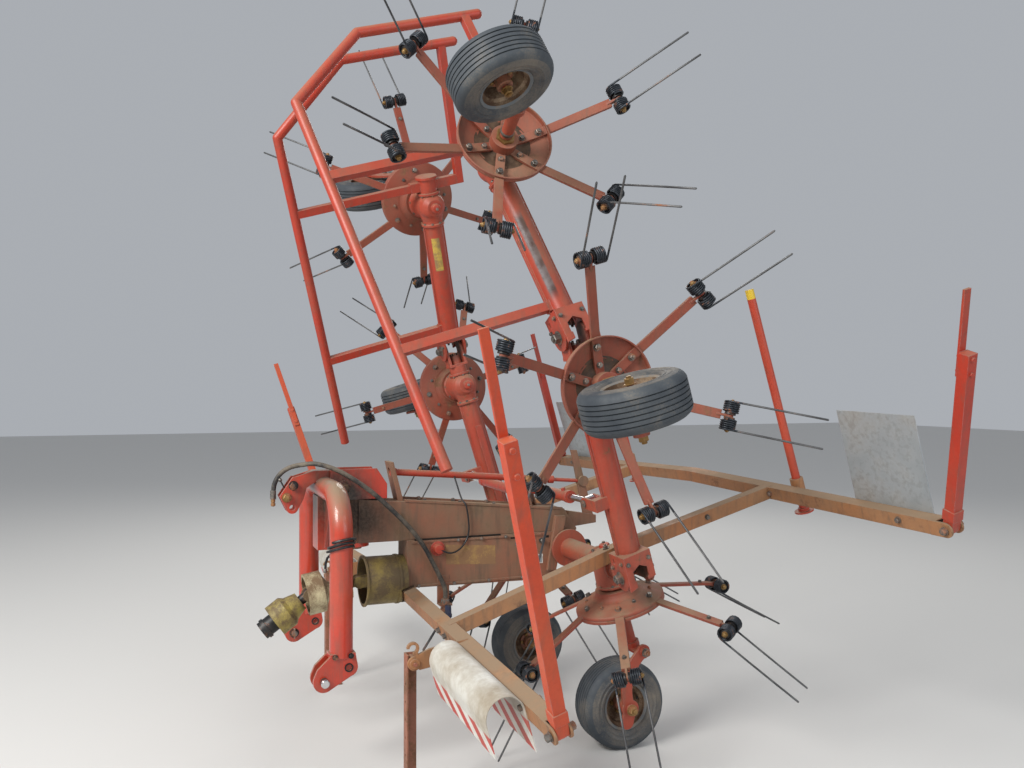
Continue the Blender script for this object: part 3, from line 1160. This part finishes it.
# Blue-black couplings over the hose's gland
gland = MACHINE @ facing((0.115, -0.715, 0.610), (0, 0, -1))
coupling_set = Piece("hose_couplings")
coupling_set.lathe([(0.0175, -0.044), (0.0215, -0.040), (0.0215, -0.024)], 6, gland, 1)
coupling_set.lathe([(0.0170, 0.0), (0.0200, 0.002), (0.0205, 0.040), (0.0245, 0.043), (0.0250, 0.058),
                    (0.0205, 0.062), (0.0205, 0.076), (0.0150, 0.092)], 28, gland, 0)
for k in range(10):
    a = math.radians(36 * k)
    coupling_set.block((0.0195, -0.0022, 0.004), (0.0222, 0.0022, 0.040), turned(gland, 36 * k), 0)
second = moved(gland, x=0.0, u=0.046, n=-0.012)
coupling_set.lathe([(0.0120, -0.010), (0.0150, -0.008), (0.0160, 0.030), (0.0190, 0.033), (0.0190, 0.046),
                    (0.0150, 0.050), (0.0100, 0.066)], 24, second, 0)
coupling_set.finish("centre_frame", [coupling_blue, bolt_steel])

# Control line that lies against the beam's side, from the cap up to the centring rod
line_points = smooth_path([(0.118, -0.745, 0.893), (0.116, -0.690, 0.872), (0.104, -0.640, 0.884),
                           (0.094, -0.600, 0.925), (0.092, -0.586, 0.975), (0.092, -0.590, 1.040),
                           (0.091, -0.602, 1.098), (0.066, -0.616, 1.128), (0.034, -0.628, 1.190),
                           (0.016, -0.636, 1.232)], 6)
line = Piece("control_line")
line.tube(line_points, 0.0042, 8, MACHINE, 0)
line.finish("centre_frame", [thin_rubber])
print("beam fittings made")

# %% [markdown]
# ## Guard frame, posts and sheets
# The bars are bolted square tube. Nuts close the post pins, bolts hold the sheets, and straps hold the
# rails on the centre boom.

# %% Guard fittings
BAR_FRONT, BAR_REAR, BAR_N, BAR_HALF = -0.845, 0.888, 0.180 + 0.050 + 0.0003 + 0.030, 0.030
trim = Piece("guard_bolts")
for side, way in (("left", 1), ("right", -1)):
    f = pitched if way == 1 else as_frame(pitched[:3, 3], (-1, 0, 0), pitched[:3, 1], pitched[:3, 2])
    for u, droop in ((BAR_FRONT, 3.0), (BAR_REAR, 1.7)):
        s_, c_ = math.sin(math.radians(droop)), math.cos(math.radians(droop))
        bar = f @ as_frame((0, u, BAR_N), (c_, 0, -s_), (0, 1, 0), (s_, 0, c_))
        for k in (1, -1):
            trim.bolt(bar, (1.730, k * 0.0362, 0), (0, k, 0), 0.024, 0)
            trim.bolt(bar, (1.500, k * BAR_HALF, 0.004), (0, k, 0), 0.020, 0)
            trim.bolt(bar, (0.700, k * BAR_HALF, 0.0), (0, k, 0), 0.020, 0)
            trim.bolt(bar, (0.620, k * BAR_HALF, 0.0), (0, k, 0), 0.020, 0)
        # End of the square tube: a plug set into it
        trim.block((1.683, -0.026, -0.026), (1.687, 0.026, 0.026), bar, 1)
        sheet = (0.960, 1.500) if u < 0 else (1.240, 1.600)
        for x in sheet:
            k = -1 if u < 0 else 1
            trim.bolt(bar, (x, k * (BAR_HALF + 0.0034), 0.004 if u < 0 else 0.018), (0, k, 0), 0.016, 0)
    for u in (BAR_FRONT * 0.55, 0.0, BAR_REAR * 0.55):
        trim.bolt(f, (0.660 + BAR_HALF, u, BAR_N - 0.020 * abs(u)), (1, 0, 0), 0.018, 0)
    # Saddle straps that hold the rail on the centre boom
    for du in (-0.046, 0.046):
        trim.bolt(f, (0.660, du, BAR_N + BAR_HALF), (0, 0, 1), 0.020, 0, stub=0.006)
trim.finish("centre_frame", [bolt_steel, soot])

print("guard fittings made")

# %% [markdown]
# ## Studio
# A pale floor, a pale soft sky and three broad lights stand in for the barn's daylight, which comes from
# the open side in front of the machine and from above. The sky that the camera sees is nearly white.

# %% Floor and light
FLOOR_HALF = 30.0
corners = [(-FLOOR_HALF, -FLOOR_HALF, 0), (FLOOR_HALF, -FLOOR_HALF, 0),
           (FLOOR_HALF, FLOOR_HALF, 0), (-FLOOR_HALF, FLOOR_HALF, 0)]
floor_mesh = bpy.data.meshes.new("floor")
floor_mesh.from_pydata(corners, [], [(0, 1, 2, 3)])
floor = bpy.data.objects.new("floor", floor_mesh)
bpy.context.scene.collection.objects.link(floor)
floor_finish = Finish("floor")
floor_finish.set(Base_Color=(0.62, 0.61, 0.59), Roughness=0.9)
floor_mesh.materials.append(floor_finish.material)

world = bpy.data.worlds.new("studio")
bpy.context.scene.world = world
world.use_nodes = True
world.node_tree.nodes["Background"].inputs[0].default_value = (0.80, 0.84, 0.90, 1.0)
world.node_tree.nodes["Background"].inputs[1].default_value = 0.50


def area_light(name, place, target, size, watts, tint):
    """A square light that looks at a target."""
    data = bpy.data.lights.new(name, "AREA")
    data.size = size
    data.energy = watts
    data.color = tint
    lamp = bpy.data.objects.new(name, data)
    bpy.context.scene.collection.objects.link(lamp)
    lamp.location = place
    lamp.rotation_euler = (Vector(target) - Vector(place)).to_track_quat("-Z", "Y").to_euler()
    return lamp


area_light("key", (3.4, -6.4, 5.6), (0, 0, 1.2), 3.4, 760.0, (1.0, 0.985, 0.955))
area_light("fill", (7.0, 3.0, 4.0), (0, 0, 1.4), 5.0, 170.0, (0.93, 0.96, 1.0))
area_light("back", (-6.0, 3.0, 6.0), (0, 0, 1.5), 4.0, 220.0, (1.0, 0.97, 0.92))
bpy.context.scene.view_settings.view_transform = "Standard"
